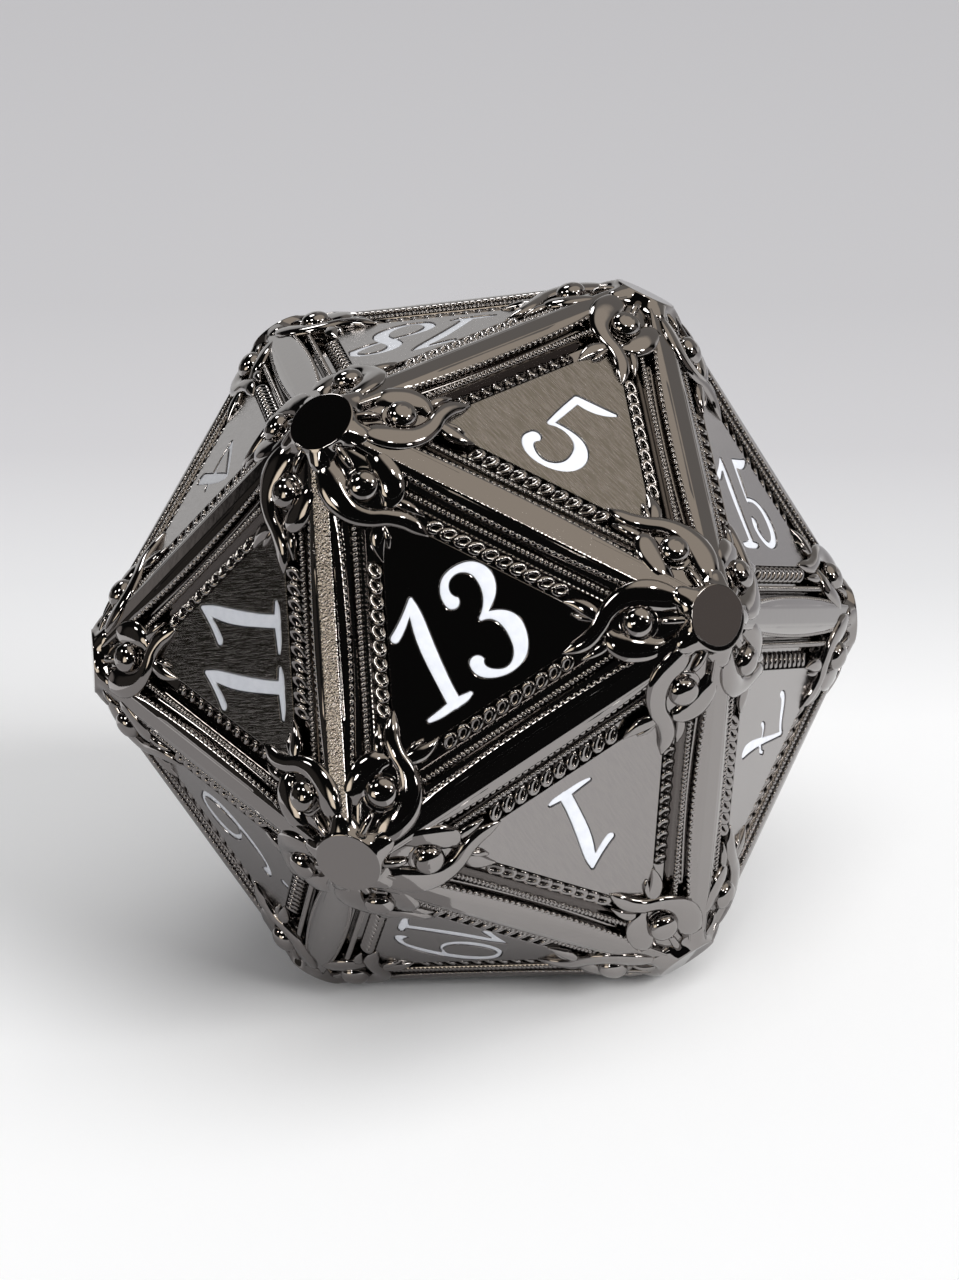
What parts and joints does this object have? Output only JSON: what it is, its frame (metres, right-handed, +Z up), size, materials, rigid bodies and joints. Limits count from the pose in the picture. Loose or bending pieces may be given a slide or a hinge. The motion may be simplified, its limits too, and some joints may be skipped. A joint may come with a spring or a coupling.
{
  "type": "twenty-sided die",
  "caption": "Jumbo metal icosahedral gaming die: black-nickel casting with ornate edge bars, chain mouldings and corner knobs, and enamel-filled numerals on plain triangular plates.",
  "frame": {"origin": "point under the die's centre on the surface it rests on", "axes": "+Z up, along the three-fold axis from the face that is down to the face that is up; +X towards a corner of the upper face"},
  "size_m": [0.0404, 0.0364, 0.035],
  "materials": {
    "black_nickel": "bright black-nickel plate on a zinc casting",
    "white_enamel": "glossy white enamel fill"
  },
  "bodies": {
    "root": {"die_casting": "black_nickel", "enamel_01": "white_enamel", "enamel_02": "white_enamel", "enamel_03": "white_enamel", "enamel_04": "white_enamel", "enamel_05": "white_enamel", "enamel_06": "white_enamel", "enamel_07": "white_enamel", "enamel_08": "white_enamel", "enamel_09": "white_enamel", "enamel_10": "white_enamel", "enamel_11": "white_enamel", "enamel_12": "white_enamel", "enamel_13": "white_enamel", "enamel_14": "white_enamel", "enamel_15": "white_enamel", "enamel_16": "white_enamel", "enamel_17": "white_enamel", "enamel_18": "white_enamel", "enamel_19": "white_enamel", "enamel_20": "white_enamel"}
  },
  "joints": []
}
